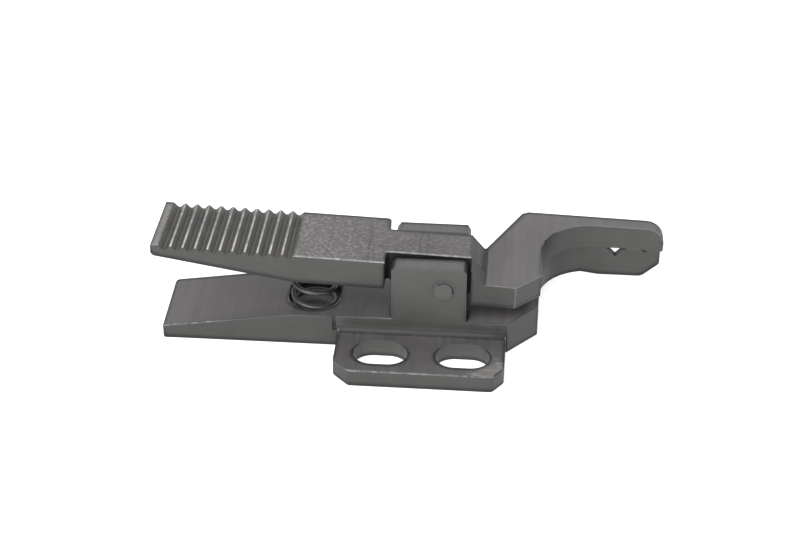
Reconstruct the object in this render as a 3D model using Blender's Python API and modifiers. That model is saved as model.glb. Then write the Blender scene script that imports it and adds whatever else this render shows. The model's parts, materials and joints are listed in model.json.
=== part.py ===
"""Spring-loaded clamp that holds a small fiber collimator in a V-groove.

A flat body carries a slotted mounting flange, two cheeks and a cranked lower jaw.
A lever turns on a pin between the cheeks: its serrated thumb end lies over the
body's tail, and its upper jaw closes on the lower one. A coil spring between tail
and lever keeps the jaws shut.

Each piece is modelled in millimetres from the point where the pivot line meets the
body's front face: x runs from the pivot towards the jaws, y from the front face to
the back, and z up, from the underside in the body and from the pin's axis in the
lever. Outlines are scaled to metres when they become solids.
"""
import math

import bmesh
import bpy
from mathutils import Matrix, Vector

MM = 0.001

# Placing: the world origin is on the underside, midway between the two screw slots
PIVOT_X = 1.9
FRONT_Y = 3.55
PIVOT_Z = 6.9
REST_TILT = math.radians(1.85)

# Body: tail, deck and cheeks
TAIL_TIP_X = -28.5
TAIL_TIP_HEIGHT = 1.42
TAIL_TAPER_END_X = -15.2
TAIL_SKEW = 0.2
TAIL_STEP = 0.12
TAIL_STEP_X = -11.1
TAIL_BACK_Y = 8.6
TIP_RADIUS = 0.5
DECK_Z = 3.45
BODY_BACK_Y = 8.9
CHEEK_LEFT_X = -5.2
CHEEK_RIGHT_X = 2.28
CHEEK_TOP_Z = 9.45
CHEEK_THICKNESS = 1.8
CHEEK_CHAMFER = 0.45
CHEEK_TOP_BREAK = 0.35

# Mounting flange with two slots
FLANGE_LEFT_X = -10.5
FLANGE_RIGHT_X = 6.3
FLANGE_FRONT_Y = -6.9
FLANGE_THICKNESS = 1.85
FLANGE_LEFT_CHAMFER = (1.65, 1.75)
FLANGE_RIGHT_CHAMFER = (1.1, 1.6)
FLANGE_CORNER_RADIUS = 0.6
ROOT_FILLET = 0.8
SLOT_WIDTH = 3.9
SLOT_LENGTH = 5.4
SLOT_PITCH = 8.1

# Jaws: cranked plates that share one outline at the back
NECK_Y = 7.05
NECK_X = 3.85
CRANK_X = 7.3
CRANK_Y = 14.5
ARM_FRONT_Y = 13.13
ARM_BACK_Y = 14.9
ARM_BACK_START_X = 7.94
JAW_STEP_Y = 8.75
ARM_TIP_ROUND = 0.3
LOWER_RIGHT_X = 9.4
LOWER_CHAMFER = (3.0, 3.45)
LOWER_TIP_X = 21.88
LOWER_TIP_CHAMFER = (1.8, 1.6)
LOWER_RADIUS = 5.7
LOWER_OVERCUT = 0.57
LOWER_ARC_END_DEG = 104
LOWER_RUN_OUT_X = 15.5
LOWER_ARM_Z = 1.5
UPPER_LEFT_X = 2.72
UPPER_RIGHT_X = 9.55
UPPER_CHAMFER = (2.5, 2.6)
UPPER_RADIUS = 5.6
UPPER_TIP_X = 22.2
UPPER_TIP_RADIUS = 1.95
UPPER_TOP_Z = 1.1
UPPER_BOTTOM_Z = -1.4
LEDGE_Z = 1.4
LEDGE_END_X = 3.62

# Split between the jaws, with the V-groove that holds the collimator
SPLIT_Z = 4.84
SPLIT_STEP = 0.22
SPLIT_GAP = 0.08
GROOVE_X = 17.22
GROOVE_HALF = 1.0
GROOVE_LAND = 1.05
GROOVE_RELIEF = 0.6
START_HOLE_X = 20.3
START_HOLE_RADIUS = 0.2

# Lever: thumb plate and tongue
THUMB_TIP_X = -29.1
THUMB_TOP_Z = 2.82
THUMB_BOTTOM_Z = -0.3
THUMB_TIP_THICKNESS = 1.25
THUMB_TAPER_END_X = -15.0
THUMB_END_X = -5.9
THUMB_FRONT_Y = 0.2
THUMB_BACK_Y = 8.75
SERRATIONS = 11
SERRATION_PITCH = 1.23
SERRATION_DEPTH = 0.45
FIRST_SERRATION_X = -27.72
CREST_FLAT = 0.06
VALLEY_FLAT = 0.1
TONGUE_FRONT_Y = 2.3
TONGUE_BACK_Y = 6.62
TONGUE_RADIUS = 2.9
RAMP_TOP_X = 2.4
RAMP_FOOT_X = 3.92

# Pin, spring and its pockets
PIN_RADIUS = 1.0
PIN_FIT = 0.02
PIN_RUNNING_FIT = 0.06
SPRING_X = -13.25
SPRING_Y = 3.6
SPRING_RADIUS = 1.95
WIRE_DIAMETER = 0.5
SPRING_PITCH = 1.66
POCKET_RADIUS = 2.6
POCKET_FLOOR_Z = 2.0
POCKET_STRETCH = 1.7
THUMB_POCKET_DEPTH = 0.95
SPRING_CLEARANCE = 0.12


def clear_scene():
    for obj in list(bpy.data.objects):
        bpy.data.objects.remove(obj, do_unlink=True)


def new_collection(name):
    collection = bpy.data.collections.new(name)
    bpy.context.scene.collection.children.link(collection)
    return collection


def make_material(name, colour, roughness, metallic):
    material = bpy.data.materials.new(name)
    material.use_nodes = True
    shader = material.node_tree.nodes["Principled BSDF"]
    shader.inputs["Base Color"].default_value = (*colour, 1.0)
    shader.inputs["Roughness"].default_value = roughness
    shader.inputs["Metallic"].default_value = metallic
    return material


def arc(centre_x, centre_y, radius, start_deg, end_deg, steps):
    """Points on a circle from one angle to another, both ends included."""
    points = []
    for i in range(steps + 1):
        angle = math.radians(start_deg + (end_deg - start_deg) * i / steps)
        points.append((centre_x + radius * math.cos(angle), centre_y + radius * math.sin(angle)))
    return points


def rounded_corner(before, corner, after, radius, steps=5):
    """Points of the arc that rounds one corner of an outline."""
    to_before, to_after = ((other - corner).normalized() for other in (before, after))
    half = to_before.angle(to_after) / 2
    inwards = (to_before + to_after).normalized()
    centre = corner + inwards * (radius / math.sin(half))
    start = corner + to_before * (radius / math.tan(half)) - centre
    sweep = math.pi - 2 * half
    turn = sweep if to_before.cross(to_after) < 0 else -sweep
    points = []
    for i in range(steps + 1):
        spoke = start.copy()
        spoke.rotate(Matrix.Rotation(turn * i / steps, 2))
        points.append(tuple(centre + spoke))
    return points


def rounded(corners):
    """An outline from (x, y, radius) corners; a radius of 0 leaves a corner sharp."""
    points = []
    places = [Vector((x, y)) for x, y, radius in corners]
    for i, (x, y, radius) in enumerate(corners):
        if radius:
            points += rounded_corner(places[i - 1], places[i], places[(i + 1) % len(places)], radius)
        else:
            points.append((x, y))
    return points


def outline_curve(name, outlines, thickness):
    """A flat curve object from closed outlines in millimetres; the inner ones are holes."""
    curve = bpy.data.curves.new(name, "CURVE")
    curve.dimensions = "2D"
    curve.fill_mode = "BOTH"
    curve.extrude = thickness / 2 * MM
    for outline in outlines:
        spline = curve.splines.new("POLY")
        spline.points.add(len(outline) - 1)
        spline.use_cyclic_u = True
        for point, (u, v) in zip(spline.points, outline):
            point.co = (u * MM, v * MM, 0.0, 1.0)
    return bpy.data.objects.new(name, curve)


def curve_to_mesh(obj, placing, collection):
    """Turn a flat curve into a welded mesh object, placed by a matrix of whole axis steps."""
    bpy.context.scene.collection.objects.link(obj)
    bpy.context.view_layer.update()
    depsgraph = bpy.context.evaluated_depsgraph_get()
    mesh = bpy.data.meshes.new_from_object(obj.evaluated_get(depsgraph))
    mesh.transform(placing)
    shape = bmesh.new()
    shape.from_mesh(mesh)
    for vert in shape.verts:
        vert.co = [round(c, 9) for c in vert.co]
    bmesh.ops.remove_doubles(shape, verts=shape.verts, dist=1e-7)
    bmesh.ops.dissolve_limit(shape, angle_limit=math.radians(0.05), verts=shape.verts, edges=shape.edges)
    bmesh.ops.recalc_face_normals(shape, faces=shape.faces)
    shape.to_mesh(mesh)
    shape.free()
    name = obj.name
    bpy.data.objects.remove(obj, do_unlink=True)
    mesh_object = bpy.data.objects.new(name, mesh)
    collection.objects.link(mesh_object)
    return mesh_object


def plan_plate(name, outlines, low, high, collection):
    """Outlines seen from above (x, y), raised from z = low to z = high."""
    placing = Matrix.Translation((0, 0, (low + high) / 2 * MM))
    return curve_to_mesh(outline_curve(name, outlines, high - low), placing, collection)


def side_plate(name, outlines, front, back, collection):
    """Outlines seen from the front (x, z), from y = front to y = back."""
    placing = Matrix(((1, 0, 0, 0), (0, 0, -1, (front + back) / 2 * MM), (0, 1, 0, 0), (0, 0, 0, 1)))
    return curve_to_mesh(outline_curve(name, outlines, back - front), placing, collection)


def end_plate(name, outlines, left, right, collection):
    """Outlines seen along x (y, z), from x = left to x = right."""
    placing = Matrix(((0, 0, 1, (left + right) / 2 * MM), (1, 0, 0, 0), (0, 1, 0, 0), (0, 0, 0, 1)))
    return curve_to_mesh(outline_curve(name, outlines, right - left), placing, collection)


def box_outline(left, low, right, high):
    return [(left, low), (right, low), (right, high), (left, high)]


def mark_cutter(cutter):
    cutter.hide_render = True
    cutter.display_type = "WIRE"


def add_boolean(obj, other, operation):
    modifier = obj.modifiers.new(f"{operation.lower()}_{other.name}", "BOOLEAN")
    modifier.operation = operation
    modifier.solver = "EXACT"
    modifier.object = other


def apply_modifiers(obj):
    """Bake an object's modifiers into its mesh and merge its flat faces again."""
    bpy.context.view_layer.update()
    depsgraph = bpy.context.evaluated_depsgraph_get()
    mesh = bpy.data.meshes.new_from_object(obj.evaluated_get(depsgraph))
    shape = bmesh.new()
    shape.from_mesh(mesh)
    bmesh.ops.remove_doubles(shape, verts=shape.verts, dist=2e-7)
    bmesh.ops.dissolve_limit(shape, angle_limit=math.radians(0.05), verts=shape.verts, edges=shape.edges)
    shape.to_mesh(mesh)
    shape.free()
    obj.modifiers.clear()
    obj.data = mesh


def fuse_and_cut(obj, joined, cutters):
    """Join shapes to an object and cut others from it, leaving one solid."""
    for other in joined:
        add_boolean(obj, other, "UNION")
    for cutter in cutters:
        mark_cutter(cutter)
        add_boolean(obj, cutter, "DIFFERENCE")
    apply_modifiers(obj)
    for other in joined:
        bpy.data.objects.remove(other, do_unlink=True)


def finish(obj, material, x=PIVOT_X, y=FRONT_Y, z=0.0):
    obj.data.materials.clear()
    obj.data.materials.append(material)
    obj.location = (x * MM, y * MM, z * MM)
    obj.data.shade_smooth()
    obj.data.set_sharp_from_angle(angle=math.radians(30))


def slot_outline(centre_x, centre_y):
    half = (SLOT_LENGTH - SLOT_WIDTH) / 2
    radius = SLOT_WIDTH / 2
    return (arc(centre_x + half, centre_y, radius, -90, 90, 20)
            + arc(centre_x - half, centre_y, radius, 90, 270, 20))


def flange_outline():
    left_x, left_y = FLANGE_LEFT_CHAMFER
    right_x, right_y = FLANGE_RIGHT_CHAMFER
    return [(FLANGE_LEFT_X, -TAIL_STEP, 0),
            (FLANGE_LEFT_X, FLANGE_FRONT_Y + left_y, FLANGE_CORNER_RADIUS),
            (FLANGE_LEFT_X + left_x, FLANGE_FRONT_Y, FLANGE_CORNER_RADIUS),
            (FLANGE_RIGHT_X - right_x, FLANGE_FRONT_Y, FLANGE_CORNER_RADIUS),
            (FLANGE_RIGHT_X, FLANGE_FRONT_Y + right_y, FLANGE_CORNER_RADIUS),
            (FLANGE_RIGHT_X, 0, 0)]


def body_outline():
    """Everything of the body seen from above, anticlockwise from the tail's front corner."""
    return rounded([(TAIL_TIP_X + TAIL_SKEW, -TAIL_STEP, 0.2)] + flange_outline() + lower_jaw_outline()
                   + [(CHEEK_LEFT_X, BODY_BACK_Y, 0), (CHEEK_LEFT_X, TAIL_BACK_Y, 0),
                      (TAIL_TIP_X, TAIL_BACK_Y, 0.4)])


def front_face_cutters(cutters):
    """Over the flange, leaving a fillet at its root; left of it the cut runs out in a curve."""
    run_out = math.sqrt(2 * ROOT_FILLET * TAIL_STEP)
    start = TAIL_STEP_X + run_out
    low = FLANGE_THICKNESS
    top = CHEEK_TOP_Z + 1
    fillet = arc(-ROOT_FILLET, low + ROOT_FILLET, ROOT_FILLET, -90, 0, 8)
    profile = [(FLANGE_FRONT_Y - 1, low)] + fillet + [(0, top), (FLANGE_FRONT_Y - 1, top)]
    over_flange = end_plate("over_flange", [profile], start, UPPER_TIP_X + 1, cutters)
    swing = math.degrees(math.asin(run_out / ROOT_FILLET))
    curve = arc(start, -ROOT_FILLET, ROOT_FILLET, 90 + swing, 90, 6)
    outline = curve + [(start, -1.5), (curve[0][0], -1.5)]
    return [over_flange, plan_plate("front_run_out", [outline], low, top, cutters)]


def tail_cutters(cutters):
    """Over the tail down to its tapered top, and the round of its tip."""
    slope = (DECK_Z - TAIL_TIP_HEIGHT) / (TAIL_TAPER_END_X - TAIL_TIP_X)
    top = CHEEK_TOP_Z + 1
    over = [(TAIL_TIP_X - 1, TAIL_TIP_HEIGHT - slope), (TAIL_TAPER_END_X, DECK_Z),
            (CHEEK_LEFT_X, DECK_Z), (CHEEK_LEFT_X, top), (TAIL_TIP_X - 1, top)]
    tip = arc(TAIL_TIP_X + TIP_RADIUS, TIP_RADIUS, TIP_RADIUS, 270, 180, 6)
    under = [(TAIL_TIP_X - 1, TIP_RADIUS), (TAIL_TIP_X - 1, -1), (TAIL_TIP_X + TIP_RADIUS, -1)] + tip
    return [side_plate("over_tail", [over], -1, BODY_BACK_Y + 1, cutters),
            side_plate("tail_tip", [under], -1, BODY_BACK_Y + 1, cutters)]


def cheek_cutters(cutters):
    """The slot for the lever's tongue, the far cheek's chamfered corners and both top edges."""
    top = CHEEK_TOP_Z + 1
    slot = box_outline(CHEEK_LEFT_X - 1, CHEEK_THICKNESS, CHEEK_RIGHT_X + 1, BODY_BACK_Y - CHEEK_THICKNESS)
    found = [plan_plate("cheek_slot", [slot], DECK_Z, top, cutters)]
    for name, x, side in (("left", CHEEK_LEFT_X, -1), ("right", CHEEK_RIGHT_X, 1)):
        corner = [(x + side, BODY_BACK_Y - CHEEK_CHAMFER - 1), (x + side, BODY_BACK_Y + 1),
                  (x - side * (CHEEK_CHAMFER + 1), BODY_BACK_Y + 1)]
        found.append(plan_plate(f"cheek_corner_{name}", [corner], DECK_Z, top, cutters))
        reach = CHEEK_TOP_BREAK + 1
        edge = [(x + side, CHEEK_TOP_Z - reach), (x + side, CHEEK_TOP_Z + 1), (x - side * reach, CHEEK_TOP_Z + 1)]
        found.append(side_plate(f"cheek_top_{name}", [edge], -1, BODY_BACK_Y + 1, cutters))
    return found


def sharp(points):
    return [(x, y, 0) for x, y in points]


def arm_end(tip_x):
    """The arm's end and back seen from above, its front corner rounded."""
    return [(tip_x, ARM_FRONT_Y, ARM_TIP_ROUND), (tip_x, ARM_BACK_Y, 0),
            (ARM_BACK_START_X, ARM_BACK_Y, 0), (CRANK_X, CRANK_Y, 0)]


def lower_jaw_outline():
    """Block and cranked arm; the inner corner is cut a little into the arm and runs out along it."""
    centre_x = LOWER_RIGHT_X + LOWER_RADIUS
    centre_y = ARM_FRONT_Y + LOWER_OVERCUT - LOWER_RADIUS
    inner = arc(centre_x, centre_y, LOWER_RADIUS, 180, LOWER_ARC_END_DEG, 19)
    back_x = CRANK_X - (CRANK_Y - BODY_BACK_Y) * (CRANK_X - NECK_X) / (CRANK_Y - NECK_Y)
    return ([(LOWER_RIGHT_X - LOWER_CHAMFER[0], 0, 0), (LOWER_RIGHT_X, LOWER_CHAMFER[1], 0)]
            + sharp(inner) + [(LOWER_RUN_OUT_X, ARM_FRONT_Y, 0)]
            + arm_end(LOWER_TIP_X) + [(back_x, BODY_BACK_Y, 0)])


def split_line(offset, with_groove):
    """The line between the jaws as (x, z) points, moved up or down by an offset."""
    z = SPLIT_Z + offset
    low = z - SPLIT_STEP
    corner = GROOVE_X + GROOVE_HALF
    if with_groove:
        groove = [(GROOVE_X - GROOVE_HALF, z), (GROOVE_X, z - GROOVE_HALF), (corner - SPLIT_STEP, low)]
    else:
        groove = [(corner, z), (corner + SPLIT_STEP, low)]
    return [(CHEEK_RIGHT_X, z)] + groove + [(UPPER_TIP_X + 1, low)]


def lower_jaw_cutters(cutters):
    """Over the block down to the deck, over the arm down to the split line, and under the arm."""
    above_block = plan_plate("above_block", [box_outline(CHEEK_RIGHT_X, -1, 12, JAW_STEP_Y)],
                             DECK_Z, CHEEK_TOP_Z + 1, cutters)
    line = split_line(-SPLIT_GAP / 2, True)
    over = line + [(line[-1][0], CHEEK_TOP_Z + 1), (CHEEK_RIGHT_X, CHEEK_TOP_Z + 1)]
    above_arm = side_plate("above_arm", [over], JAW_STEP_Y, ARM_BACK_Y + 1, cutters)
    rise_x, rise_z = LOWER_TIP_CHAMFER
    past = LOWER_TIP_X + 1
    under = rounded([(CHEEK_RIGHT_X, -1, 0), (past, -1, 0), (past, LOWER_ARM_Z + rise_z * (1 + 1 / rise_x), 0),
                     (LOWER_TIP_X - rise_x, LOWER_ARM_Z, 1.0), (CHEEK_RIGHT_X, LOWER_ARM_Z, 0)])
    under_arm = side_plate("under_arm", [under], BODY_BACK_Y, ARM_BACK_Y + 1, cutters)
    z = SPLIT_Z - SPLIT_GAP / 2 - GROOVE_HALF - GROOVE_RELIEF
    reach = GROOVE_HALF + GROOVE_RELIEF + 1
    relief = [(GROOVE_X, z), (GROOVE_X + reach, z + reach), (GROOVE_X - reach, z + reach)]
    groove_relief = side_plate("groove_relief", [relief], ARM_FRONT_Y + GROOVE_LAND,
                               ARM_BACK_Y + 1, cutters)
    return [above_block, above_arm, under_arm, groove_relief]


def start_hole_cutter(cutters, name):
    """Small round hole on the split line, near the tip."""
    z = SPLIT_Z - SPLIT_STEP
    outline = arc(START_HOLE_X, z, START_HOLE_RADIUS, 0, 337.5, 15)
    return side_plate(name, [outline], ARM_FRONT_Y - 1, ARM_BACK_Y + 1, cutters)


def spring_pocket_cutter(cutters):
    near = arc(SPRING_X, SPRING_Y, POCKET_RADIUS, 180, 360, 24)
    far = arc(SPRING_X, SPRING_Y + POCKET_STRETCH, POCKET_RADIUS, 0, 180, 24)
    return plan_plate("spring_pocket", [near + far], POCKET_FLOOR_Z, DECK_Z + 1, cutters)


def pin_hole_cutter(cutters, name, radius, z):
    outline = arc(0, z, radius, 0, 352.5, 47)
    return side_plate(name, [outline], -1, BODY_BACK_Y + 1, cutters)


def make_body(parts, cutters, material):
    """One plate in plan, as high as the cheeks, cut down to the body's shape."""
    slots = [slot_outline(-PIVOT_X + side * SLOT_PITCH / 2, -FRONT_Y) for side in (-1, 1)]
    body = plan_plate("holder_body", [body_outline()] + slots, 0, CHEEK_TOP_Z, parts)
    fuse_and_cut(body, [], front_face_cutters(cutters) + tail_cutters(cutters) + cheek_cutters(cutters)
                 + lower_jaw_cutters(cutters)
                 + [start_hole_cutter(cutters, "lower_start_hole"),
                    spring_pocket_cutter(cutters),
                    pin_hole_cutter(cutters, "body_pin_hole", PIN_RADIUS + PIN_FIT, PIVOT_Z)])
    finish(body, material)
    return body


def serration_profile():
    """Top of the thumb plate from right to left: V-cuts with a narrow floor between narrow crests."""
    points = []
    half = SERRATION_PITCH / 2 - CREST_FLAT
    for i in reversed(range(SERRATIONS)):
        x = FIRST_SERRATION_X + i * SERRATION_PITCH
        floor = THUMB_TOP_Z - SERRATION_DEPTH
        points += [(x + half, THUMB_TOP_Z), (x + VALLEY_FLAT, floor), (x - VALLEY_FLAT, floor),
                   (x - half, THUMB_TOP_Z)]
    return points


def thumb_profile():
    low = THUMB_TOP_Z - THUMB_TIP_THICKNESS
    tip = arc(THUMB_TIP_X + TIP_RADIUS, low + TIP_RADIUS, TIP_RADIUS, 180, 262, 6)
    return ([(THUMB_END_X, THUMB_BOTTOM_Z), (THUMB_END_X, THUMB_TOP_Z)] + serration_profile()
            + [(THUMB_TIP_X, THUMB_TOP_Z)] + tip + [(THUMB_TAPER_END_X, THUMB_BOTTOM_Z)])


def tongue_profile():
    """Tongue with a round heel about the pin and a ramp down to the jaw."""
    corner = math.degrees(math.asin(UPPER_BOTTOM_Z / TONGUE_RADIUS))
    reach = math.hypot(THUMB_END_X, THUMB_BOTTOM_Z)
    bearing = math.degrees(math.atan2(THUMB_BOTTOM_Z, THUMB_END_X))
    tangent = bearing + math.degrees(math.acos(TONGUE_RADIUS / reach))
    heel = arc(0, 0, TONGUE_RADIUS, tangent, corner, 20)
    return ([(THUMB_END_X - 1, THUMB_TOP_Z), (THUMB_END_X - 1, THUMB_BOTTOM_Z),
             (THUMB_END_X, THUMB_BOTTOM_Z)] + heel
            + [(RAMP_FOOT_X, UPPER_BOTTOM_Z), (RAMP_FOOT_X, UPPER_TOP_Z), (RAMP_TOP_X, THUMB_TOP_Z)])


def upper_jaw_outline():
    return rounded([(UPPER_LEFT_X, 0, 0), (UPPER_RIGHT_X - UPPER_CHAMFER[0], 0, 0),
                    (UPPER_RIGHT_X, UPPER_CHAMFER[1], 0)]
                   + sharp(arc(UPPER_RIGHT_X + UPPER_RADIUS, ARM_FRONT_Y - UPPER_RADIUS, UPPER_RADIUS, 180, 90, 20))
                   + arm_end(UPPER_TIP_X) + [(NECK_X, NECK_Y, 0), (UPPER_LEFT_X, NECK_Y, 0)])


def ledge_profile():
    return [(UPPER_LEFT_X, 0), (RAMP_FOOT_X, 0), (RAMP_FOOT_X, UPPER_TOP_Z),
            (LEDGE_END_X, LEDGE_Z), (UPPER_LEFT_X, LEDGE_Z)]


def upper_jaw_cutters(cutters, lever):
    """Under the block to the jaw's bottom, and under the arm up to the split line."""
    under_block = plan_plate("under_block", [box_outline(UPPER_LEFT_X - 0.2, -1, 12, JAW_STEP_Y)],
                             UPPER_BOTTOM_Z - 2, UPPER_BOTTOM_Z, cutters)
    line = split_line(SPLIT_GAP / 2, False)
    shifted = [(x, z - PIVOT_Z) for x, z in line + [(line[-1][0], 0), (CHEEK_RIGHT_X, 0)]]
    under_arm = side_plate("under_upper_arm", [shifted], JAW_STEP_Y, ARM_BACK_Y + 1, cutters)
    hole = start_hole_cutter(cutters, "upper_start_hole")
    for cutter, height in ((under_arm, 0.0), (hole, -PIVOT_Z)):
        cutter.location.z = height * MM
    r = UPPER_TIP_RADIUS
    rounding = arc(UPPER_TIP_X - r, UPPER_TOP_Z - r, r, 0, 90, 8)
    outline = rounding + [(UPPER_TIP_X - r, UPPER_TOP_Z + 1), (UPPER_TIP_X + 1, UPPER_TOP_Z + 1),
                          (UPPER_TIP_X + 1, UPPER_TOP_Z - r)]
    tip = side_plate("upper_tip", [outline], ARM_FRONT_Y - 1, ARM_BACK_Y + 1, cutters)
    return [under_block, tip], [under_arm, hole]


def thumb_pocket_cutter(cutters):
    outline = arc(SPRING_X, SPRING_Y, POCKET_RADIUS, 0, 352.5, 47)
    return plan_plate("thumb_pocket", [outline], THUMB_BOTTOM_Z - 1,
                      THUMB_BOTTOM_Z + THUMB_POCKET_DEPTH, cutters)


def make_lever(parts, cutters, material):
    """The lever in its own level frame; the split is cut level in the closed pose."""
    lever = side_plate("clamp_lever", [thumb_profile()], THUMB_FRONT_Y, THUMB_BACK_Y, parts)
    tongue = side_plate("tongue", [tongue_profile()], TONGUE_FRONT_Y, TONGUE_BACK_Y, cutters)
    jaw = plan_plate("upper_jaw", [upper_jaw_outline()], UPPER_BOTTOM_Z - 0.6, UPPER_TOP_Z, cutters)
    ledge = side_plate("ledge", [ledge_profile()], 0, TONGUE_FRONT_Y + 0.3, cutters)
    level, closed = upper_jaw_cutters(cutters, lever)
    for cutter in closed:
        cutter.rotation_euler.y = -REST_TILT
    fuse_and_cut(jaw, [], level + closed)
    fuse_and_cut(lever, [tongue, jaw, ledge],
                 [thumb_pocket_cutter(cutters),
                  pin_hole_cutter(cutters, "lever_pin_hole", PIN_RADIUS + PIN_RUNNING_FIT, 0)])
    finish(lever, material, z=PIVOT_Z)
    lever.rotation_euler.y = REST_TILT
    return lever


def make_pin(parts, material):
    """Plain pin, flush with both cheeks, its ends chamfered."""
    chamfer = 0.12
    profile = [(0, BODY_BACK_Y), (PIN_RADIUS - chamfer, BODY_BACK_Y), (PIN_RADIUS, BODY_BACK_Y - chamfer),
               (PIN_RADIUS, chamfer), (PIN_RADIUS - chamfer, 0), (0, 0)]
    mesh = bpy.data.meshes.new("pivot_pin")
    shape = bmesh.new()
    verts = [shape.verts.new((x * MM, 0, y * MM)) for x, y in profile]
    for a, b in zip(verts, verts[1:]):
        shape.edges.new((a, b))
    shape.to_mesh(mesh)
    shape.free()
    pin = bpy.data.objects.new("pivot_pin", mesh)
    parts.objects.link(pin)
    screw = pin.modifiers.new("turned", "SCREW")
    screw.angle = math.tau
    screw.steps = 48
    screw.render_steps = 48
    screw.use_merge_vertices = True
    screw.merge_threshold = 1e-6
    finish(pin, material, z=PIVOT_Z)
    pin.rotation_euler.x = math.radians(-90)
    return pin


def spring_height():
    """Free height in the closed pose, from the body's pocket to the lever's."""
    ceiling = THUMB_BOTTOM_Z + THUMB_POCKET_DEPTH
    lowest_x = SPRING_X + SPRING_RADIUS + WIRE_DIAMETER / 2
    top = PIVOT_Z + ceiling * math.cos(REST_TILT) - lowest_x * math.sin(REST_TILT)
    return top - POCKET_FLOOR_Z - 2 * SPRING_CLEARANCE


def spring_points():
    """Right-handed coil with one closed turn at each end."""
    span = spring_height() - WIRE_DIAMETER
    end_rise = WIRE_DIAMETER * 1.15
    active = round((span - 2 * end_rise) / SPRING_PITCH * 4) / 4
    turns = active + 2
    per_turn = 20
    count = round(turns * per_turn)
    points = []
    for i in range(count + 1):
        turn = i / per_turn
        if turn < 1:
            z = end_rise * turn
        elif turn > turns - 1:
            z = span - end_rise * (turns - turn)
        else:
            z = end_rise + (span - 2 * end_rise) * (turn - 1) / active
        angle = math.tau * turn + math.radians(90)
        points.append((SPRING_RADIUS * math.cos(angle), SPRING_RADIUS * math.sin(angle), z))
    return points


def make_spring(parts, material):
    curve = bpy.data.curves.new("return_spring", "CURVE")
    curve.dimensions = "3D"
    curve.bevel_depth = WIRE_DIAMETER / 2 * MM
    curve.bevel_resolution = 2
    curve.use_fill_caps = True
    spline = curve.splines.new("POLY")
    points = spring_points()
    spline.points.add(len(points) - 1)
    for point, (x, y, z) in zip(spline.points, points):
        point.co = (x * MM, y * MM, z * MM, 1.0)
    spring = bpy.data.objects.new("return_spring", curve)
    parts.objects.link(spring)
    curve.materials.append(material)
    height = POCKET_FLOOR_Z + SPRING_CLEARANCE + WIRE_DIAMETER / 2
    spring.location = ((PIVOT_X + SPRING_X) * MM, (FRONT_Y + SPRING_Y) * MM, height * MM)
    return spring


def main():
    clear_scene()
    parts = new_collection("fiber_collimator_holder")
    cutters = new_collection("cutters")
    machined = make_material("machined_steel", (0.2, 0.2, 0.2), 0.45, 0.9)
    lever_steel = make_material("lever_steel", (0.22, 0.21, 0.215), 0.42, 0.9)
    pin_steel = make_material("pin_steel", (0.24, 0.24, 0.24), 0.35, 0.95)
    spring_wire = make_material("spring_wire", (0.32, 0.32, 0.32), 0.25, 1.0)
    make_body(parts, cutters, machined)
    make_lever(parts, cutters, lever_steel)
    make_pin(parts, pin_steel)
    make_spring(parts, spring_wire)


main()
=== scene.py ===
"""Dresses the fiber collimator holder: satin machined steel, a sprung lever, a pale studio."""

import json
import math

import bmesh
import bpy
from mathutils import Matrix, Vector


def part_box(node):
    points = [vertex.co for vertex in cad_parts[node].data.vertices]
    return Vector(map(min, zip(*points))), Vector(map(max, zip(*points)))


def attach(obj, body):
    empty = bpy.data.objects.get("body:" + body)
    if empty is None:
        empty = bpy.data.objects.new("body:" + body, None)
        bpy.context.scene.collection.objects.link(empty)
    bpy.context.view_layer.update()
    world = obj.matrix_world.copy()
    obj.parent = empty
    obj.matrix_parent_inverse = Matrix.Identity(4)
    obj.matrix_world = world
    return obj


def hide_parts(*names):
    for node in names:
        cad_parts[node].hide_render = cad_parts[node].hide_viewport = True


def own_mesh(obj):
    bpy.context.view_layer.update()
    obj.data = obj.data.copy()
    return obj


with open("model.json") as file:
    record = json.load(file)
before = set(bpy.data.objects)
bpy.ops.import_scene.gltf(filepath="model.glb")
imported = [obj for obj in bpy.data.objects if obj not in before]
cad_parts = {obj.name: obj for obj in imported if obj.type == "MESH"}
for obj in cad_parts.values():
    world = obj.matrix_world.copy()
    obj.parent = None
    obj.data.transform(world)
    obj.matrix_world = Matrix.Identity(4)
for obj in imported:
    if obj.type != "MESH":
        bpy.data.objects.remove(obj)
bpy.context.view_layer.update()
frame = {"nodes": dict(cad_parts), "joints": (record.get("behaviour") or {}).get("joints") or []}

MM = 0.001

# Places taken from the model, in metres
PIVOT = Vector(frame["joints"][0]["pos_m"])
PIN_LOW, PIN_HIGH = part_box("pivot_pin")
SPRING_LOW, SPRING_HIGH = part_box("return_spring")
BODY_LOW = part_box("holder_body")[0]

# Light
WORLD_LIGHT = 0.62
FLOOR_GLOW = 0.7
FLOOR_GAP = 0.02 * MM

# The photograph's camera, found from the part's own edges, in the part's frame
CAMERA_PLACE = (0.0092613, -0.1442603, 0.1028221)
CAMERA_RIGHT = (0.996737, 0.080651, 0.003142)
CAMERA_UP = (-0.045882, 0.534161, 0.844137)
CAMERA_BACK = (0.066402, -0.841527, 0.536119)
FOCAL_PX = 1795.06
IMAGE_WIDTH_PX = 800
SENSOR_MM = 36

# Colours
STEEL_METALLIC = 0.55
BLACK = (0.0, 0.0, 0.0, 1.0)
WHITE = (1.0, 1.0, 1.0, 1.0)
# Shaded and lit copies of one steel: the sides' and the tops' tints are painted light
SHADED_SIDE_TINT = (0.98, 1.0, 0.95)
LIT_TOP_TINT = (1.05, 1.0, 0.99)
BROWN_TINT = (1.08, 1.0, 0.9)
GREEN_TINT = (0.92, 1.0, 0.92)

# Material slots of a dressed piece; the pin has its own second slot
FACES, BROKEN, RUBBED_AND_LIT, FLANKS, BLOCK_EDGES = range(5)
# The pin's second slot holds a painted shadow
GROOVE_SHADOW = 1

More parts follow.
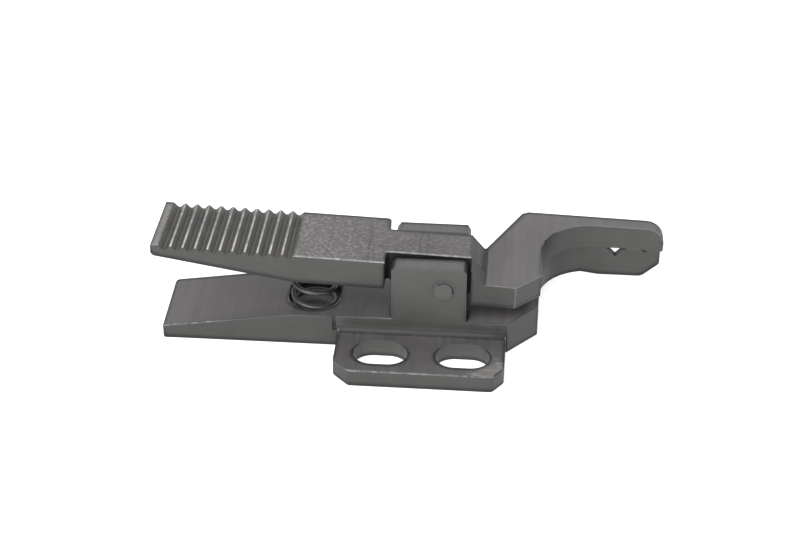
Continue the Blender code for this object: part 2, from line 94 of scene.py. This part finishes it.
# Edge treatment, in millimetres and square millimetres
EDGE_BREAK = 0.12
BLOCK_BREAK = 0.09
CREST_BREAK = 0.045
CREST_AREA = 2.0
CREST_LENGTH = 5.0
CREST_LEAST_DEG = 28
FLANK_AREA = 6.0
THUMB_CORNER_RADIUS = 0.4
TONGUE_FILLET = 0.35

# Boxes round the features that are treated apart, in millimetres
FACE_STEP = ((-9.6, 3.2, 1.7), (-7.9, 3.6, 3.6))
FACE_STEP_RIGHT = ((7.9, 3.2, 1.7), (8.5, 3.7, 3.6))
SPLIT = ((4, 3, 4.3), (25, 19, 5.1))
SPLIT_FACE = ((5, 11.9, 4.5), (25, 19, 4.95))
BACK_STEP = ((5.0, 12.2, 3.3), (5.4, 12.6, 4.9))
BLOCK_BACK = ((11.3, 11.9, 5.1), (11.7, 12.4, 7.8))
BLOCK_CORNER = ((8.8, 3.5, 5.2), (9.1, 3.6, 7.8))
BLOCK_FRONT = ((5.8, 3.5, 7.7), (9.1, 3.6, 7.9))
RAMP_FRONT = ((4.3, 3.4, 7.7), (6.0, 5.95, 9.7))
LEDGE_TOP = ((4.5, 3.4, 8.0), (4.8, 6.0, 8.4))
RAMP_TURN = ((5.5, 3.4, 8.1), (5.6, 6.0, 8.25))
LEDGE_FOOT = ((4.5, 3.4, 5.3), (4.7, 6.0, 5.5))
RIDGES = ((-28, 3, 9.6), (-12.6, 13, 12))
THUMB_FAR_CORNER = ((-4.2, 12.2, 6), (-3.8, 12.4, 11))
TONGUE_ROOT = ((-4.2, 5.7, 6), (-3.8, 6.0, 11))
TONGUE_ROOT_END = ((-4.6, 5.1, 6.4), (-3.2, 6.2, 7.2))
CHEEK_CORNERS = (((-3.6, 11.7, 3.3), (-2.4, 12.6, 9.6)), ((3.4, 11.7, 3.3), (4.4, 12.6, 9.6)))
CHEEK_INSIDE = ((-3.4, 5.3, 2.0), (4.3, 5.4, 9.5))
TAIL_TIP_CORNERS = (((-27, 11.5, -0.1), (-25.6, 12.6, 0.7)), ((-27, 3.2, -0.1), (-25.6, 4.0, 0.7)))
PIN_HOLES = ((0.6, 3.4, 5.6), (3.2, 12.6, 8.2))
POCKET_RIM = ((-14.1, 4.5, 2.2), (-8.6, 7.3, 3.7))

# How far faces move to narrow the gaps beside them, in millimetres
JAW_GAP_CLOSED = 0.03
CHEEK_GROWTH = 0.2

# Where the ramp ends once it runs on over the ledge beside the near cheek, in millimetres
RAMP_HEAD_X, RAMP_HEAD_Z = 4.54, 9.45
RAMP_TURN_Z = 8.215
LEDGE_FOOT_X = 4.5

# Where a finish, a painted light or a painted shade begins and where it is full, in millimetres along the
# axis named
TUMBLED_Z = (8.5, 9.0)
WORN_TIP_X = (-26.0, -26.6)
# Painted light falling off towards the jaw
LIGHT_FALLOFF_X = (-2.0, -11.0)
# Painted shade on the block top beside the ramp and at its foot
RAMP_X = (8.6, 6.2)
RAMP_FOOT_X = (6.15, 5.95)
# Painted shade on the tongue's near side
TONGUE_SIDE_Y = 5.85
TONGUE_SIDE_REACH = (0.12, 0.05)
TONGUE_SIDE_X = (4.5, 4.3)
CRANK_LEFT_X = (4.0, 5.0)
CRANK_RIGHT_X = (17.0, 14.0)
SPLIT_Z = 4.84
CLEAR_OF_SPLIT = (0.4, 0.8)
CHEEKS_Z = (1.0, 3.5)
CHEEKS_LEFT_X = (-8.9, -8.6)
CHEEKS_RIGHT_X = (7.5, 6.5)
# Painted light on the slot walls
SLOTS_Z = (1.83, 1.6)
SLOTS_Y = (2.2, 2.0)
SLOTS_X = (8.3, 7.9)
# Painted light on the low deck
LOW_DECK_X = (4.0, 5.0)
LOW_DECK_Y = (3.0, 3.5)
# Edge breaks worn bright and given a painted highlight
WORN_EDGE_Y = (2.9, 3.2)

# Marks, in millimetres: cross scratches by their place along the lever, and the flange's scuffed end
SCRATCHES = (-9.68, -5.65, -0.65, 0.05)
SCRATCH_WIDTH = 0.15
SCUFFED_END = (6.9, -2.2, 1.85)
SCUFF_REACH = 2.6
PIN_SURROUND = 2.2

# How far a face looks along an axis where it begins to count, and where it fully does
FACES_UP = (0.7, 0.98)
HOLLOW_FROM_SIDE = (0.15, 0.5)
HOLLOW_TO_TOP = (1.0, 0.93)
LOOKS_FRONT = (-0.05, -0.2)
CORNER_ALONG = (0.5, 0.7)
CORNER_FRONT = (-0.5, -0.7)
UP_AND_FRONT = (0.93, 1.03)
LIT_UP = (0.0, 0.5)

# Painted shade along faces' margins: its width in millimetres, and how far the edge turns the surface there
MARGIN_WIDTH = 0.85
MARGIN_SHARE = 0.75
MARGIN_TURN_TOP = (0.03, 0.1)
MARGIN_TURN_SIDE = (0.05, 0.16)
MARGIN_SAMPLES = 6

# Pin and spring, in metres
PIN_RECESS = 0.07 * MM
PIN_END_SLANT = 0.06
PIN_FACE_SHARE = 0.8
PIN_CHAMFER_SHARE = 0.85
WIRE_RADIUS = 0.25 * MM
COIL_RADIUS = 2.12 * MM
COIL_PITCH = 1.71 * MM
CLOSED_RISE = 0.575 * MM
FRONT_TURN_Z = 3.39 * MM


class Socket:
    """A node's output that takes part in sums, so shader maths reads as Python."""

    def __init__(self, nodes, socket):
        self.nodes = nodes
        self.socket = socket

    def maths(self, operation, *values):
        return self.nodes.node("ShaderNodeMath", {"operation": operation}, values)

    def __add__(self, other):
        return self.maths("ADD", self, other)

    def __sub__(self, other):
        return self.maths("SUBTRACT", self, other)

    def __rsub__(self, other):
        return self.maths("SUBTRACT", other, self)

    def __mul__(self, other):
        return self.maths("MULTIPLY", self, other)

    def __abs__(self):
        return self.maths("ABSOLUTE", self)

    __radd__ = __add__
    __rmul__ = __mul__

    def clamped(self):
        return self.maths("MINIMUM", self.maths("MAXIMUM", self, 0.0), 1.0)

    def between(self, low, high):
        """0 at one value and before it, 1 at the other and past it, smooth in between."""
        settings = {"interpolation_type": "SMOOTHSTEP"}
        values = {"Value": self, "From Min": low, "From Max": high}
        return self.nodes.node("ShaderNodeMapRange", settings, values)


class Nodes:
    """A node tree under construction."""

    def __init__(self, owner):
        owner.use_nodes = True
        self.tree = owner.node_tree

    def node(self, kind, settings=None, values=(), output=0):
        made = self.tree.nodes.new(kind)
        for key, value in (settings or {}).items():
            setattr(made, key, value)
        pairs = values.items() if isinstance(values, dict) else enumerate(values)
        for key, value in pairs:
            self.set(made.inputs[key], value)
        return Socket(self, made.outputs[output])

    def set(self, target, value):
        if isinstance(value, Socket):
            self.tree.links.new(value.socket, target)
        else:
            target.default_value = value

    def mix(self, share, first, second):
        """A colour between two others."""
        return self.node("ShaderNodeMix", {"data_type": "RGBA"}, {0: share, 6: first, 7: second}, output=2)

    def seen_directly(self):
        """1 for what the camera sees, also by way of metal or glass, and 0 for light on its way."""
        camera, glossy, transmission = [self.node("ShaderNodeLightPath", output=f"Is {kind} Ray")
                                        for kind in ("Camera", "Glossy", "Transmission")]
        return (camera + glossy + transmission).clamped()


class Finish(Nodes):
    """A surface finish under construction, with its shader and its piece's own coordinates."""

    def __init__(self, name, roughness, metallic):
        self.material = bpy.data.materials.new(name)
        super().__init__(self.material)
        self.shader = self.tree.nodes["Principled BSDF"]
        self.feed("Roughness", roughness)
        self.feed("Metallic", metallic)
        self.place = self.node("ShaderNodeTexCoord", output="Object")

    def feed(self, name, value):
        self.set(self.shader.inputs[name], value)

    def axis(self, vector, index):
        return self.node("ShaderNodeSeparateXYZ", None, [vector], output=index)

    def place_mm(self, index):
        """Where the surface is along one of the piece's own axes, in millimetres."""
        return self.axis(self.place, index) * (1 / MM)

    def facing(self, index):
        """How far the surface faces along one of the piece's own axes, from -1 to 1."""
        return self.axis(self.node("ShaderNodeTexCoord", output="Normal"), index)

    def painted_edge_shade(self, up):
        """1 along a face's far, lower and end edges: painted shade where the surface turns away there."""
        rounded = self.node("ShaderNodeBevel", {"samples": MARGIN_SAMPLES}, {"Radius": MARGIN_WIDTH * MM})
        flat = self.node("ShaderNodeNewGeometry", output="Normal")
        lean = [self.axis(normal, 1) - self.axis(normal, 2) for normal in (rounded, flat)]
        turn = lean[0] - lean[1]
        return turn.between(*MARGIN_TURN_TOP) * up + turn.between(*MARGIN_TURN_SIDE) * (1.0 - up)

    def near(self, place_mm, reach_mm):
        """1 at a place, fading to 0 at some distance from it."""
        place = [c * MM for c in place_mm]
        off = self.node("ShaderNodeVectorMath", {"operation": "DISTANCE"}, [self.place, place], output=1)
        return off.between(reach_mm * MM, 0.3 * reach_mm * MM)

    def noise(self, size_mm, stretch=(1, 1, 1), detail=2.0, seed=0.0):
        """Soft noise round 0 whose features measure size_mm, times the stretch along each axis."""
        scale = [1 / (size_mm * MM * part) for part in stretch]
        values = {"Vector": self.place, "Location": (seed, seed, seed), "Scale": scale}
        placed = self.node("ShaderNodeMapping", None, values)
        return self.node("ShaderNodeTexNoise", None, {"Vector": placed, "Scale": 1.0, "Detail": detail}) - 0.5

    def scratch(self, at_mm):
        """1 along a scratch that runs from front to back, 0 beside it."""
        wander = self.noise(3.0, detail=2.0, seed=at_mm) * 0.4
        off = abs(self.place_mm(0) + wander - at_mm)
        return 1.0 - off.between(0.2 * SCRATCH_WIDTH, SCRATCH_WIDTH)

    def bump(self, height, depth_mm):
        values = {"Height": height, "Distance": depth_mm * MM, "Strength": 1.0}
        return self.node("ShaderNodeBump", None, values)


class Steel(Finish):
    """Machined steel under construction: streaked sides, milled tops, soft blotches.

    How much lighter the sides and tops are than plain steel, and the relief, take up each piece's own wear
    and its painted light and shade.
    """

    def __init__(self, name, seed):
        super().__init__(name, 0.5, STEEL_METALLIC)
        self.up = self.facing(2).between(*FACES_UP)
        self.blotch = self.noise(3.5, detail=3.0, seed=seed)
        self.fine = self.noise(0.1, detail=1.0, seed=seed + 9)
        streak = self.noise(0.16, (24, 24, 1), detail=2.0, seed=seed + 3)
        milling = self.noise(0.55, (1, 30, 30), detail=3.0, seed=seed + 5)
        self.sides = streak * 0.16 + self.fine * 0.1
        self.tops = milling * 0.55 + self.fine * 0.2
        self.relief = streak * 0.5 + self.fine * 0.4

    def coloured(self, shaded_side_level, lit_top_level, crease_shade=0.0, edge_shade=0.0):
        """The material, its tops painted lighter than its sides as painted top light, less the painted shade
        in creases and along edges.
        """
        shade = 1.0 + self.blotch * 0.5 + self.sides * (1.0 - self.up) + self.tops * self.up - crease_shade
        share = (shade * (1.0 - edge_shade) * 0.5).clamped()
        # Painted top light: the tops take a lighter grey than the sides
        shaded_side_colour = self.mix(share, BLACK, tinted(shaded_side_level * 2, SHADED_SIDE_TINT))
        lit_top_colour = self.mix(share, BLACK, tinted(lit_top_level * 2, LIT_TOP_TINT))
        self.feed("Base Color", self.mix(self.up, shaded_side_colour, lit_top_colour))
        self.feed("Roughness", (0.5 + self.blotch * 0.3 + self.tops * self.up * 0.3).clamped())
        self.feed("Normal", self.bump(self.relief, 0.012))
        return self.material


def tinted(level, tint=(1.0, 1.0, 1.0)):
    """A grey of a level, with a slight tint."""
    return (*(level * part for part in tint), 1.0)


def body_steel():
    """The body's steel: painted shade in the fillet, on side-turned corners and along far edges; painted
    light on the slot walls and the low deck; lighter cheeks; a scuffed flange end.
    """
    steel = Steel("milled_body_steel", seed=0.0)
    along, across, height = [steel.place_mm(index) for index in range(3)]
    scuff = steel.noise(0.35, (3, 1, 1), detail=3.0, seed=11.0).between(0.02, 0.12)
    # Painted light on the low deck beside the cheeks, which lies in shade
    low_deck_light = along.between(*LOW_DECK_X) * across.between(*LOW_DECK_Y)
    steel.tops = steel.tops + steel.near(SCUFFED_END, SCUFF_REACH) * (scuff * 1.8 + 0.45) + low_deck_light * 0.5
    cheeks = height.between(*CHEEKS_Z) * along.between(*CHEEKS_LEFT_X) * along.between(*CHEEKS_RIGHT_X)
    # Painted light on the slot walls, which lie in shade
    slot_wall_light = height.between(*SLOTS_Z) * abs(across).between(*SLOTS_Y) * abs(along).between(*SLOTS_X)
    # Painted shade on faces turned half to the side and half to the front
    side_turned_shade = abs(steel.facing(0)).between(*CORNER_ALONG) * steel.facing(1).between(*CORNER_FRONT)
    steel.sides = steel.sides + cheeks * 0.4 + slot_wall_light * 0.5 - side_turned_shade * 0.13 - 0.1
    # Painted shade in the fillet at the flange's root, where the face turns from the side to the top
    crease_shade = steel.facing(2).between(*HOLLOW_FROM_SIDE) * steel.facing(2).between(*HOLLOW_TO_TOP)
    fillet_shade = crease_shade * steel.facing(1).between(*LOOKS_FRONT)
    pin_end = (PIVOT.x / MM, PIN_LOW.y / MM, PIVOT.z / MM)
    # Painted shade along the far, lower and end edges, but not round the pin's end
    edge_shade = steel.painted_edge_shade(steel.up) * (1.0 - steel.near(pin_end, PIN_SURROUND)) * MARGIN_SHARE
    return steel.coloured(0.076, 0.144, fillet_shade * 0.62, edge_shade)


def lever_steel():
    """The lever's steel: tumbled and speckled on top, with cross scratches and a worn tip; painted light
    falling off towards the jaw; painted shade at the ramp's foot, on the tongue's side and along far edges.
    """
    steel = Steel("tumbled_lever_steel", seed=20.0)
    along, across, height = [steel.place_mm(index) for index in range(3)]
    speckle = steel.noise(0.36, detail=3.0, seed=27.0)
    spots = speckle.maths("MAXIMUM", speckle, 0.0)
    # Painted light: lighter, and more speckled, towards the thumb end, as the lamp's light falls off towards
    # the jaw
    light_falloff = along.between(*LIGHT_FALLOFF_X)
    marks = sum([steel.scratch(place) for place in SCRATCHES], 0.0)
    tumbled = (speckle * 1.5 + spots * 3.6) * (0.55 + light_falloff * 0.45) + steel.fine * 0.5
    tumbled = tumbled + along.between(*WORN_TIP_X) * 0.8 + light_falloff * 0.26 - marks * 0.28 - 0.18
    # Painted shade on the block top at the ramp's foot and beside it, a little over all the lower tops
    ramp_foot_shade = along.between(*RAMP_FOOT_X) * 0.75 + along.between(*RAMP_X) * 0.12 + 0.05
    high = height.between(*TUMBLED_Z)
    steel.tops = (steel.tops - ramp_foot_shade) * (1.0 - high) + tumbled * high
    steel.relief = steel.relief + speckle * high
    crank = along.between(*CRANK_LEFT_X) * along.between(*CRANK_RIGHT_X)
    # Painted shade on the tongue's near side, beside the ledge
    tongue_side_shade = abs(across - TONGUE_SIDE_Y).between(*TONGUE_SIDE_REACH) * along.between(*TONGUE_SIDE_X)
    steel.sides = steel.sides - crank * 0.1 - tongue_side_shade * 0.6
    # Painted shade along the far, lower and end edges, but not beside the split
    edge_shade = steel.painted_edge_shade(steel.up) * abs(height - SPLIT_Z).between(*CLEAR_OF_SPLIT) * MARGIN_SHARE
    return steel.coloured(0.076, 0.152, edge_shade=edge_shade)


def pin_steel():
    """The pin's steel, lighter than the cheeks that it goes through."""
    steel = Steel("turned_pin_steel", seed=40.0)
    steel.sides = steel.sides + 0.3
    return steel.coloured(0.085, 0.12)


def flank_finish():
    """The serrations' flanks: cutter lines along each tooth, brown and green stains."""
    finish = Finish("serration_flanks", 0.5, STEEL_METALLIC)
    line = finish.noise(0.1, (1, 30, 1), detail=2.0, seed=31.0)
    fine = finish.noise(0.12, (1, 3, 1), detail=2.0, seed=33.0)
    stain = (0.5 + finish.noise(2.2, detail=2.0, seed=35.0) * 3.0).clamped()
    shade = (0.5 + line * 0.35 + fine * 0.3).clamped()
    brown = finish.mix(shade, BLACK, tinted(0.21, BROWN_TINT))
    green = finish.mix(shade, BLACK, tinted(0.19, GREEN_TINT))
    finish.feed("Base Color", finish.mix(stain, green, brown))
    finish.feed("Roughness", (0.5 + fine * 0.3).clamped())
    finish.feed("Normal", finish.bump(line + fine * 0.5, 0.015))
    return finish.material


def broken_edge_finish(name, plain, bright, share, dull_at_mm, worn_and_lit_at_mm):
    """The break along an edge: painted light where it faces up and forwards, worn nicks with a painted
    highlight on the worn front edges, and painted shade elsewhere.
    """
    finish = Finish(name, 0.45, 0.0)
    nick = finish.noise(0.45, detail=3.0, seed=1.0)
    # Painted light and shade: breaks facing up and forwards are plain, the rest near black
    lit_facing = (finish.facing(2) - finish.facing(1)).between(*UP_AND_FRONT)
    # Worn nicks with a painted highlight along the front edges
    worn_and_lit = finish.place_mm(2).between(dull_at_mm, worn_and_lit_at_mm) * abs(finish.place_mm(1)).between(*WORN_EDGE_Y)
    shine = finish.mix((nick * 2.2 + share).clamped() * worn_and_lit, tinted(plain), tinted(bright, LIT_TOP_TINT))
    finish.feed("Base Color", finish.mix(lit_facing, tinted(0.02), shine))
    finish.feed("Metallic", lit_facing * STEEL_METALLIC)
    finish.feed("Roughness", (0.45 + nick * 0.3).clamped())
    finish.feed("Specular IOR Level", 0.3)
    return finish.material


def rubbed_and_lit_finish(name, dull, bright, near_y_mm, far_y_mm):
    """Metal rubbed bright along an edge, with a painted highlight where it faces up, most at its near end."""
    finish = Finish(name, 0.35, STEEL_METALLIC)
    nick = finish.noise(0.5, (1, 2, 1), detail=3.0, seed=7.0)
    near = 1.0 - finish.place_mm(1).between(near_y_mm, far_y_mm)
    # Painted highlight: brighter where the edge faces up
    share = (0.25 + near * 0.45 + nick * 1.6).clamped() * (finish.facing(2).between(*LIT_UP) * 0.8 + 0.2)
    finish.feed("Base Color", finish.mix(share, tinted(dull), tinted(bright, LIT_TOP_TINT)))
    finish.feed("Roughness", (0.35 + nick * 0.3).clamped())
    return finish.material


def wire_finish():
    """Drawn spring wire with faint marks round the wire, dark, and darkened further as painted shade so that
    its far turns sink into the pocket's shade.
    """
    finish = Finish("drawn_spring_wire", 0.3, STEEL_METALLIC)
    mark = finish.noise(0.3, detail=3.0, seed=2.0)
    # Dark grey, partly as painted shade
    finish.feed("Base Color", finish.mix((0.5 + mark).clamped(), tinted(0.04), tinted(0.13)))
    finish.feed("Roughness", (0.42 + mark * 0.25).clamped())
    return finish.material


def groove_shadow_finish():
    """Painted shadow round the top right of the pin's end, under the hole's rim."""
    finish = Finish("painted_groove_shadow", 0.6, 0.0)
    smear = finish.noise(0.3, detail=2.0, seed=4.0)
    finish.feed("Base Color", finish.mix((0.5 + smear).clamped(), tinted(0.004), tinted(0.02)))
    finish.feed("Roughness", (0.6 + smear * 0.4).clamped())
    return finish.material


def merged_copy(node):
    """A bmesh of a node, its triangles merged back into whole faces."""
    shape = bmesh.new()
    shape.from_mesh(frame["nodes"][node].data)
    bmesh.ops.remove_doubles(shape, verts=shape.verts, dist=1e-7)
    bmesh.ops.dissolve_limit(shape, angle_limit=math.radians(0.3), verts=shape.verts, edges=shape.edges)
    return shape


def finished(shape, name, materials, smooth_deg=18):
    """An object from a bmesh, with its materials, smooth across gentle edges."""
    mesh = bpy.data.meshes.new(name)
    shape.to_mesh(mesh)
    shape.free()
    for material in materials:
        mesh.materials.append(material)
    mesh.shade_smooth()
    mesh.set_sharp_from_angle(angle=math.radians(smooth_deg))
    piece = bpy.data.objects.new(name, mesh)
    bpy.context.scene.collection.objects.link(piece)
    return piece


def dressed(piece, body, node):
    """A piece that rides on a body and stands for a node there."""
    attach(piece, body)
    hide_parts(node)
    return piece


def sharp_edges(shape, convex=True, least_deg=60):
    return [edge for edge in shape.edges
            if edge.is_convex == convex and edge.calc_face_angle(0) > math.radians(least_deg)]


def holds(box, vert):
    """Whether a vertex lies in a box given by two corners in millimetres."""
    return all(low * MM <= place <= high * MM for low, place, high in zip(box[0], vert.co, box[1]))


def inside(elements, box):
    """The edges or faces that lie in a box."""
    return [element for element in elements if all(holds(box, vert) for vert in element.verts)]


def outside(elements, *boxes):
    """The edges or faces that lie in none of the boxes."""
    apart = {element for box in boxes for element in inside(elements, box)}
    return [element for element in elements if element not in apart]


def break_edges(shape, edges, width_mm, slot=None, segments=2):
    """Bevels edges; the new faces take a slot, or else that of their neighbours."""
    made = bmesh.ops.bevel(shape, geom=edges, offset=width_mm * MM, offset_type="OFFSET", segments=segments,
                           profile=0.5, affect="EDGES", clamp_overlap=False, material=-1)
    if slot is not None:
        for face in made["faces"]:
            face.material_index = slot
    bmesh.ops.remove_doubles(shape, verts=shape.verts, dist=1e-6)


def shift(shape, box, axis, amount_mm):
    """Moves a face, by the vertices that lie in a box, along one axis."""
    for vert in shape.verts:
        if holds(box, vert):
            vert.co[axis] += amount_mm * MM


def make_body_shell(materials):
    """The body with its outer edges broken; the shallow step in its front face stays sharp."""
    shape = merged_copy("holder_body")
    shift(shape, SPLIT_FACE, 2, JAW_GAP_CLOSED)
    shift(shape, CHEEK_INSIDE, 1, CHEEK_GROWTH)
    break_edges(shape, inside(sharp_edges(shape), POCKET_RIM), EDGE_BREAK, RUBBED_AND_LIT)
    left_sharp = (FACE_STEP, FACE_STEP_RIGHT, BACK_STEP, SPLIT, POCKET_RIM, PIN_HOLES,
                  *CHEEK_CORNERS, *TAIL_TIP_CORNERS)
    break_edges(shape, outside(sharp_edges(shape), *left_sharp), EDGE_BREAK, BROKEN)
    return dressed(finished(shape, "body_shell", materials), "holder", "holder_body")


def crest_edges(shape):
    """The long edges along the narrow crests, above the serrations' floors; the crests take the rubbed and
    lit finish.
    """
    found = []
    for edge in inside(sharp_edges(shape, least_deg=CREST_LEAST_DEG), RIDGES):
        narrow = [face for face in edge.link_faces if face.calc_area() < CREST_AREA * MM ** 2]
        if edge.calc_length() > CREST_LENGTH * MM and any(face.normal.z > 0.9 for face in narrow):
            found.append(edge)
            for face in narrow:
                face.material_index = RUBBED_AND_LIT
    return found


def mark_flanks(shape):
    """Gives the sloping faces and floors between the crests their own finish."""
    for face in inside(shape.faces, RIDGES):
        small = face.calc_area() < FLANK_AREA * MM ** 2
        if small and face.material_index == FACES and face.normal.z > 0.2:
            face.material_index = FLANKS


def carry_ramp_forward(shape):
    """Slopes the ledge beside the near cheek so that it goes on from the ramp, as one surface."""
    for vert in shape.verts:
        if holds(LEDGE_TOP, vert):
            vert.co.x = RAMP_HEAD_X * MM
            vert.co.z = RAMP_HEAD_Z * MM
        elif holds(RAMP_TURN, vert):
            vert.co.z = RAMP_TURN_Z * MM
        elif holds(LEDGE_FOOT, vert):
            vert.co.x = LEDGE_FOOT_X * MM


def make_lever_shell(materials):
    """The lever: its edges broken, the thumb plate's far corner rounded, a fillet beside the tongue."""
    shape = merged_copy("clamp_lever")
    carry_ramp_forward(shape)
    shift(shape, SPLIT_FACE, 2, -JAW_GAP_CLOSED)
    break_edges(shape, crest_edges(shape), CREST_BREAK, RUBBED_AND_LIT, segments=3)
    mark_flanks(shape)
    break_edges(shape, inside(sharp_edges(shape), THUMB_FAR_CORNER), THUMB_CORNER_RADIUS, segments=4)
    break_edges(shape, inside(sharp_edges(shape, convex=False), TONGUE_ROOT), TONGUE_FILLET, segments=4)
    left_sharp = (RIDGES, SPLIT, BLOCK_BACK, RAMP_FRONT, TONGUE_ROOT_END)
    # The block's corner and front edges take a painted highlight
    lit_block_edges = inside(sharp_edges(shape, least_deg=40), BLOCK_CORNER) + inside(sharp_edges(shape), BLOCK_FRONT)
    break_edges(shape, lit_block_edges, BLOCK_BREAK, BLOCK_EDGES)
    break_edges(shape, outside(sharp_edges(shape), *left_sharp), EDGE_BREAK, BROKEN)
    return dressed(finished(shape, "lever_shell", materials), "lever", "clamp_lever")


def make_pin(materials):
    """The pin turned in one piece, its near end faced at a slant, with painted shadow at its top right rim.
    """
    radius = (PIN_HIGH.x - PIN_LOW.x) / 2
    face_y = PIN_LOW.y + PIN_RECESS
    profile = [(0, face_y), (radius * PIN_FACE_SHARE, face_y), (radius, face_y),
               (radius, PIN_HIGH.y - 3 * PIN_RECESS),
               (radius * PIN_CHAMFER_SHARE, PIN_HIGH.y - PIN_RECESS), (0, PIN_HIGH.y - PIN_RECESS)]
    shape = bmesh.new()
    verts = [shape.verts.new((PIVOT.x + r, y, PIVOT.z)) for r, y in profile]
    edges = [shape.edges.new(pair) for pair in zip(verts, verts[1:])]
    bmesh.ops.spin(shape, geom=verts + edges, cent=(PIVOT.x, 0, PIVOT.z), axis=(0, 1, 0), angle=math.tau,
                   steps=64, use_merge=True)
    bmesh.ops.remove_doubles(shape, verts=shape.verts, dist=1e-7)
    bmesh.ops.recalc_face_normals(shape, faces=shape.faces)
    near_end = PIN_LOW.y + 1.5 * PIN_RECESS
    # Painted shadow under the hole's upper rim, on the rim faces at the top right of the near end
    for face in shape.faces:
        middle = face.calc_center_median()
        right, up = middle.x - PIVOT.x, middle.z - PIVOT.z
        at_rim = middle.y < near_end and math.hypot(right, up) > PIN_FACE_SHARE * radius
        # Clockwise from about half past ten to half past three
        if at_rim and right + 1.6 * up > 0.5 * radius:
            face.material_index = GROOVE_SHADOW
    for vert in shape.verts:
        if vert.co.y < near_end:
            vert.co.y += (vert.co.x - PIVOT.x + vert.co.z - PIVOT.z) * PIN_END_SLANT
    return dressed(finished(shape, "pin_turned", materials), "holder", "pivot_pin")


def coil_points(per_turn):
    """Places along the left-handed coil, with one closed turn at each end, from the bottom seat up."""
    centre = (SPRING_LOW + SPRING_HIGH) / 2
    bottom = SPRING_LOW.z + WIRE_RADIUS
    open_turns = (SPRING_HIGH.z - WIRE_RADIUS - bottom - 2 * CLOSED_RISE) / COIL_PITCH
    front_turn = 1 + (FRONT_TURN_Z - bottom - CLOSED_RISE) / COIL_PITCH
    count = round((open_turns + 2) * per_turn)
    for i in range(count + 1):
        turn = i / count * (open_turns + 2)
        opened = min(max(turn - 1, 0), open_turns)
        angle = -math.pi / 2 - math.tau * (turn - front_turn)
        yield Vector((centre.x + COIL_RADIUS * math.cos(angle),
                      centre.y + COIL_RADIUS * math.sin(angle),
                      bottom + CLOSED_RISE * (turn - opened) + COIL_PITCH * opened))


def make_spring(material):
    """The coil as a round wire, swept along its path."""
    curve = bpy.data.curves.new("spring_path", "CURVE")
    curve.dimensions = "3D"
    curve.bevel_depth = WIRE_RADIUS
    curve.bevel_resolution = 5
    curve.use_fill_caps = True
    points = list(coil_points(per_turn=48))
    spline = curve.splines.new("POLY")
    spline.points.add(len(points) - 1)
    for point, place in zip(spline.points, points):
        point.co = (*place, 1)
    path = bpy.data.objects.new("spring_path", curve)
    bpy.context.scene.collection.objects.link(path)
    bpy.context.view_layer.update()
    mesh = bpy.data.meshes.new_from_object(path.evaluated_get(bpy.context.evaluated_depsgraph_get()))
    bpy.data.objects.remove(path, do_unlink=True)
    shape = bmesh.new()
    shape.from_mesh(mesh)
    bmesh.ops.remove_doubles(shape, verts=shape.verts, dist=1e-7)
    spring = finished(shape, "spring_coil", [material], smooth_deg=60)
    dressed(spring, "holder", "return_spring")
    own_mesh(spring)
    return spring


def make_camera():
    """The camera of the photograph."""
    data = bpy.data.cameras.new("camera")
    data.sensor_width = SENSOR_MM
    data.lens = FOCAL_PX / IMAGE_WIDTH_PX * SENSOR_MM
    data.clip_start = 0.01
    data.clip_end = 10
    camera = bpy.data.objects.new("camera", data)
    turn = Matrix((CAMERA_RIGHT, CAMERA_UP, CAMERA_BACK)).transposed().to_4x4()
    camera.matrix_world = Matrix.Translation(CAMERA_PLACE) @ turn
    bpy.context.scene.collection.objects.link(camera)
    bpy.context.scene.camera = camera


def make_soft_lamp(name, place, size, power):
    """A round lamp that shines at the part."""
    data = bpy.data.lights.new(name, "AREA")
    data.shape = "DISK"
    data.size = size
    data.energy = power
    lamp = bpy.data.objects.new(name, data)
    lamp.location = place
    lamp.rotation_euler = (-Vector(place)).to_track_quat("-Z", "Y").to_euler()
    bpy.context.scene.collection.objects.link(lamp)


def make_world():
    """Even light all round; the camera and what is seen in the metal find it white."""
    world = bpy.data.worlds.new("studio")
    nodes = Nodes(world)
    background = nodes.tree.nodes["Background"]
    nodes.set(background.inputs["Color"], WHITE)
    nodes.set(background.inputs["Strength"], nodes.seen_directly() * (1 - WORLD_LIGHT) + WORLD_LIGHT)
    bpy.context.scene.world = world


def make_floor():
    """White floor that keeps a faint shadow under the part."""
    shape = bmesh.new()
    bmesh.ops.create_grid(shape, x_segments=1, y_segments=1, size=3.0)
    bmesh.ops.translate(shape, verts=shape.verts, vec=(0, 0, BODY_LOW.z - FLOOR_GAP))
    finish = Finish("white_floor", 0.9, 0.0)
    finish.feed("Base Color", tinted(0.9))
    finish.feed("Emission Color", finish.mix(finish.seen_directly(), BLACK, WHITE))
    finish.feed("Emission Strength", FLOOR_GLOW)
    finished(shape, "floor", [finish.material])


make_camera()
make_world()
make_floor()
make_soft_lamp("key", place=(-0.12, -0.28, 0.3), size=0.35, power=1.45)

# Edge breaks: painted light and shade by the way they face, with worn nicks
deburred = broken_edge_finish("deburred_edge", plain=0.1, bright=0.3, share=0.35,
                              dull_at_mm=2.6, worn_and_lit_at_mm=2.0)
tumbled = broken_edge_finish("tumbled_edge", plain=0.17, bright=0.42, share=0.45,
                             dull_at_mm=8.0, worn_and_lit_at_mm=8.6)
# The pocket's rim and the block's edges: painted highlight; the crests: rubbed wear with a painted highlight
pocket_rim = rubbed_and_lit_finish("pocket_rim", dull=0.15, bright=0.4, near_y_mm=4.5, far_y_mm=9.0)
crest = rubbed_and_lit_finish("rubbed_and_lit_crest", dull=0.2, bright=0.75, near_y_mm=3.5, far_y_mm=8.0)
block_edge = rubbed_and_lit_finish("lit_block_edge", dull=0.075, bright=0.32, near_y_mm=3.5, far_y_mm=8.0)

make_body_shell([body_steel(), deburred, pocket_rim])
make_lever_shell([lever_steel(), tumbled, crest, flank_finish(), block_edge])
make_pin([pin_steel(), groove_shadow_finish()])
make_spring(wire_finish())

bpy.context.scene.view_settings.view_transform = "Standard"
